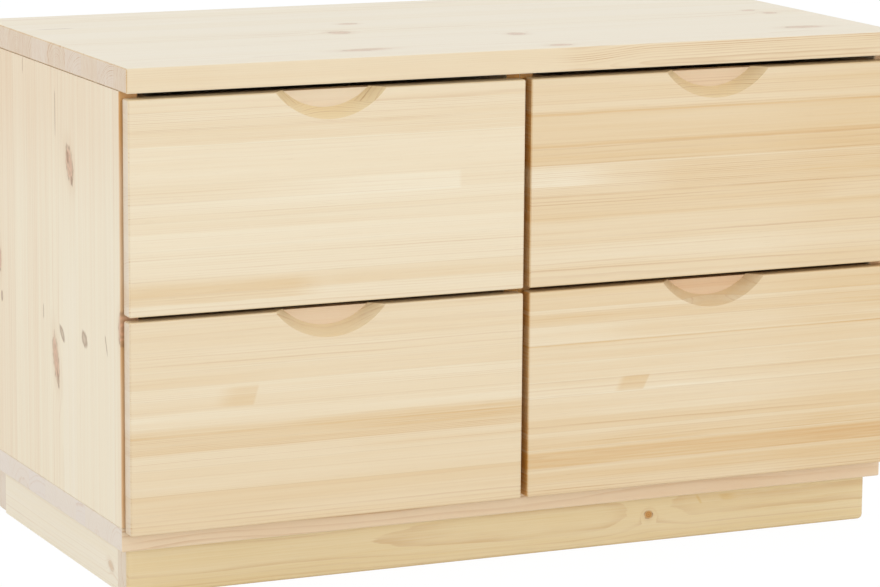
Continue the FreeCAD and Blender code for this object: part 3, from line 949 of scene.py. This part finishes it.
def cut_recess(head, sizes):
    """Cut a cross with tapered arms into the top of a screw head."""
    top = sizes.head_rim + sizes.head_rise
    for span in ((sizes.recess_span, sizes.recess_width), (sizes.recess_width, sizes.recess_span)):
        bpy.ops.mesh.primitive_cube_add(size=1, location=(0, 0, top))
        arm = bpy.context.object
        arm.scale = (*span, 2 * sizes.recess_depth)
        bpy.ops.object.transform_apply()
        bpy.ops.object.mode_set(mode="EDIT")
        select_faces(arm, lambda middle: middle.z < top - sizes.recess_depth / 2)
        bpy.ops.transform.resize(value=(RECESS_TAPER, RECESS_TAPER, 1))
        bpy.ops.object.mode_set(mode="OBJECT")
        cut_with(head, arm)


def smooth(piece):
    """Shade a piece smooth, apart from its sharp edges."""
    select_only(piece)
    bpy.ops.object.shade_smooth_by_angle(angle=SMOOTH_ANGLE)


def screw_head():
    """A raised screw head with a cross recess, which faces up from the origin."""
    sizes = bpy.context.scene.fastener_sizes
    head = round_head(SCREW_SIDES, sizes.head_radius, sizes.head_rim, SCREW_DOME, sizes.head_rise)
    cut_recess(head, sizes)
    smooth(head)
    return head


def pin_head():
    """A small flat pin head with an eased rim, which faces up from the origin."""
    sizes = bpy.context.scene.fastener_sizes
    half = sizes.pin_height / 2
    head = round_head(PIN_SIDES, sizes.pin_radius, half, PIN_DOME, half)
    smooth(head)
    return head


def set_out(pattern, name, places, direction, body, material):
    """Copies of a fastener at these places, facing a direction, as one piece that rides on a body."""
    turn = Vector((0, 0, 1)).rotation_difference(Vector(direction)).to_matrix().to_4x4()
    copies = []
    for place in places:
        copy = bpy.data.objects.new(name, pattern.data.copy())
        bpy.context.collection.objects.link(copy)
        copy.matrix_world = Matrix.Translation(place) @ turn
        copies.append(copy)
    select_only(*copies)
    bpy.ops.object.transform_apply()
    bpy.ops.object.join()
    piece = bpy.context.object
    piece.name = name
    piece.data.materials.clear()
    piece.data.materials.append(material)
    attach(piece, body)


class FrontScrews(bpy.types.Operator):
    """Add the screws that hold each drawer front, seen inside its box"""
    bl_idname = "drawer_unit.front_screws"
    bl_label = "Drawer front screws"

    def execute(self, context):
        margin = context.scene.fastener_sizes.screw_margin
        pattern = screw_head()
        metal = zinc("screw_zinc")
        for drawer in DRAWERS:
            low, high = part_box(f"{drawer}_box_front")
            places = [(x, high.y, z) for x in (low.x + margin, high.x - margin)
                      for z in (low.z + margin, high.z - margin)]
            set_out(pattern, f"{drawer}_front_screws", places, (0, 1, 0), f"{drawer}_drawer", metal)
        bpy.data.objects.remove(pattern)
        return {"FINISHED"}


class BlockScrews(bpy.types.Operator):
    """Add the screws under the corner blocks of the plinth"""
    bl_idname = "drawer_unit.block_screws"
    bl_label = "Corner block screws"

    def execute(self, context):
        margin = context.scene.fastener_sizes.block_margin
        low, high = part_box("plinth_corner_blocks")
        places = [(x, y, low.z) for x in (low.x + margin, high.x - margin)
                  for y in (low.y + margin, high.y - margin)]
        pattern = screw_head()
        set_out(pattern, "plinth_block_screws", places, (0, 0, -1), "carcass", zinc("block_screw_zinc"))
        bpy.data.objects.remove(pattern)
        return {"FINISHED"}


def even_steps(start, end, spacing):
    """Places from start to end, about as far apart as the spacing."""
    count = round((end - start) / spacing)
    return [start + (end - start) * step / count for step in range(count + 1)]


class BackPins(bpy.types.Operator):
    """Add the pins round the edge of the back panel and up its middle"""
    bl_idname = "drawer_unit.back_pins"
    bl_label = "Back panel pins"

    def execute(self, context):
        sizes = context.scene.fastener_sizes
        low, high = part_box("back_panel")
        left, right = low.x + sizes.pin_margin, high.x - sizes.pin_margin
        below, above = low.z + sizes.pin_margin, high.z - sizes.pin_margin
        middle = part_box("divider_right_board")[1].x / 2
        across = even_steps(left, right, sizes.pin_spacing)
        up = even_steps(below, above, sizes.pin_spacing)
        places = [(x, high.y, z) for x in across for z in (below, above)]
        places += [(x, high.y, z) for x in (left, middle, right) for z in up[1:-1]]
        pattern = pin_head()
        set_out(pattern, "back_panel_pins", places, (0, 1, 0), "carcass", zinc("pin_zinc"))
        bpy.data.objects.remove(pattern)
        return {"FINISHED"}


class BuildStudio(bpy.types.Operator):
    """Add the floor, the light and the camera"""
    bl_idname = "drawer_unit.build_studio"
    bl_label = "Studio"

    def execute(self, context):
        studio = context.scene.studio_settings
        self.add_floor(studio)
        self.add_sky(studio)
        self.add_lamp("key", studio.key_place, studio.key_size, studio.key)
        self.add_lamp("fill", studio.fill_place, studio.fill_size, studio.fill)
        self.add_camera(studio)
        context.scene.view_settings.view_transform = "Standard"
        return {"FINISHED"}

    def seen_directly(self, finish):
        """1 for rays from the camera, mirrors and glass, and 0 for light on its way to a surface."""
        rays = finish.node("ShaderNodeLightPath", {}, {}, "Is Camera Ray")
        mirrored = finish.math("MAXIMUM", rays.output("Is Glossy Ray"), rays.output("Is Transmission Ray"))
        return finish.math("MAXIMUM", rays, mirrored)

    def add_floor(self, studio):
        bpy.ops.object.select_all(action="DESELECT")
        bpy.ops.mesh.primitive_plane_add(size=FLOOR_WIDTH, location=(0, 0, CAD_BOX[0].z - FLOOR_DROP))
        floor = bpy.context.object
        floor.name = "studio_floor"
        material = bpy.data.materials.new("studio_floor_paint")
        finish = Finish(material)
        plain = finish.node("ShaderNodeBsdfDiffuse", {}, {"Color": (*studio.floor, 1)})
        white = finish.node("ShaderNodeEmission", {}, {"Color": WHITE, "Strength": CLEAN_WHITE})
        glow = self.seen_directly(finish) * studio.floor_glow
        mixed = finish.node("ShaderNodeMixShader", {}, {0: glow, 1: plain, 2: white})
        finish.tree.links.new(mixed.socket, finish.tree.nodes["Material Output"].inputs["Surface"])
        floor.data.materials.append(material)

    def add_sky(self, studio):
        world = bpy.data.worlds.new("studio_sky")
        bpy.context.scene.world = world
        finish = Finish(world)
        strength = self.seen_directly(finish) * (1 - studio.sky) + studio.sky
        background = finish.tree.nodes["Background"]
        background.inputs["Color"].default_value = WHITE
        finish.tree.links.new(strength.socket, background.inputs["Strength"])

    def add_lamp(self, name, place, size, watts):
        bpy.ops.object.light_add(type="AREA", location=place)
        lamp = bpy.context.object
        lamp.name = f"studio_{name}_lamp"
        lamp.data.shape = "SQUARE"
        lamp.data.size = size
        lamp.data.energy = watts
        middle = (CAD_BOX[0] + CAD_BOX[1]) / 2
        lamp.rotation_euler = (place - middle).to_track_quat("Z", "Y").to_euler()

    def add_camera(self, studio):
        bpy.ops.object.camera_add()
        camera = bpy.context.object
        camera.name = "studio_camera"
        camera.data.sensor_fit = "HORIZONTAL"
        camera.data.sensor_width = FILM_WIDTH
        camera.data.lens = studio.lens
        turn = (Matrix.Rotation(-studio.yaw, 4, "Z") @ Matrix.Rotation(math.pi / 2 - studio.pitch, 4, "X")
                @ Matrix.Rotation(studio.roll, 4, "Z"))
        backward = turn @ Vector((0, 0, 1))
        camera.matrix_world = Matrix.Translation(Vector(studio.aim) + backward * studio.distance) @ turn
        bpy.context.scene.camera = camera


OPERATORS = (DressTop, DressBottom, DressSides, DressDivider, DressPlinth, DressFronts, DressBoxes,
             DressBack, DressRunners, FrontScrews, BlockScrews, BackPins, BuildStudio)
SETTINGS = {"wood_colours": WoodColours, "wood_figure": WoodFigure, "fastener_sizes": FastenerSizes,
            "studio_settings": StudioSettings}


class DrawerUnitPanel(bpy.types.Panel):
    """Steps and settings of the drawer unit."""
    bl_idname = "VIEW3D_PT_drawer_unit"
    bl_label = "Drawer unit"
    bl_space_type = "VIEW_3D"
    bl_region_type = "UI"
    bl_category = "Drawer Unit"

    def draw(self, context):
        for operator in OPERATORS:
            self.layout.operator(operator.bl_idname)
        for name, group in SETTINGS.items():
            settings = getattr(context.scene, name)
            box = self.layout.box()
            for field in group.__annotations__:
                box.prop(settings, field)


def register():
    """Register the settings, the operators and the panel."""
    for name, group in SETTINGS.items():
        bpy.utils.register_class(group)
        setattr(bpy.types.Scene, name, bpy.props.PointerProperty(type=group))
    for kind in (*OPERATORS, DrawerUnitPanel):
        bpy.utils.register_class(kind)


def unregister():
    """Take back what register did."""
    for kind in (DrawerUnitPanel, *reversed(OPERATORS)):
        bpy.utils.unregister_class(kind)
    for name, group in SETTINGS.items():
        delattr(bpy.types.Scene, name)
        bpy.utils.unregister_class(group)


def main():
    """Register the steps, then dress the unit and build the studio."""
    register()
    for operator in OPERATORS:
        family, step = operator.bl_idname.split(".")
        getattr(getattr(bpy.ops, family), step)()


if __name__ == "__main__":
    main()
